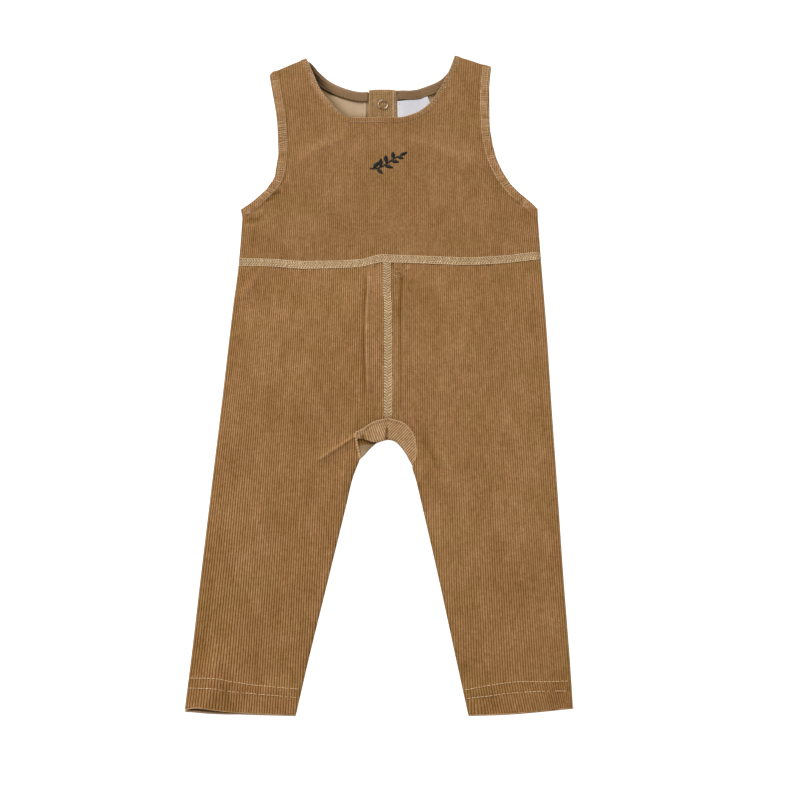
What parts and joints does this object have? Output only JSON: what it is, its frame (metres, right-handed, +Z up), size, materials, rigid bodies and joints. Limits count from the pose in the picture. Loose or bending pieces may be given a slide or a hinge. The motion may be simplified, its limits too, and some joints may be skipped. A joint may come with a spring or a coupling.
{
  "type": "sleeveless footless baby jumpsuit laid flat",
  "caption": "Sleeveless footless baby jumpsuit in fine-wale corduroy, laid flat, with a waist seam, a centre seam, a crotch gusset and a snap band down the back.",
  "frame": {"origin": "middle of the underside of the whole garment, on the surface it lies on", "axes": "+X to the wearer's left, +Y from the hems to the shoulders, +Z up, out of the garment's front"},
  "size_m": [0.2698, 0.6004, 0.0102],
  "materials": {
    "corduroy": "fine-wale corduroy, camel brown, matte with a soft nap",
    "neck_tape": "smooth woven tape, taupe brown",
    "label": "blank white woven satin",
    "snap_metal": "bright plated ring",
    "seam_thread": "cream cotton thread, matte",
    "motif_thread": "black embroidery thread, slightly glossy"
  },
  "bodies": {
    "root": {"front_bodice": "corduroy", "front_leg_right": "corduroy", "front_leg_left": "corduroy", "crotch_gusset": "corduroy", "back_bodice_right": "corduroy", "back_bodice_left": "corduroy", "back_leg_right": "corduroy", "back_leg_left": "corduroy", "button_band_inner": "corduroy", "button_band_outer": "corduroy", "neck_tape_right": "neck_tape", "neck_tape_left": "neck_tape", "blank_label": "label", "snap_ring_inner_1": "snap_metal", "snap_ring_inner_2": "snap_metal", "snap_ring_inner_3": "snap_metal", "snap_ring_inner_4": "snap_metal", "snap_ring_outer_1": "snap_metal", "snap_ring_outer_2": "snap_metal", "snap_ring_outer_3": "snap_metal", "snap_ring_outer_4": "snap_metal"}
  },
  "joints": []
}
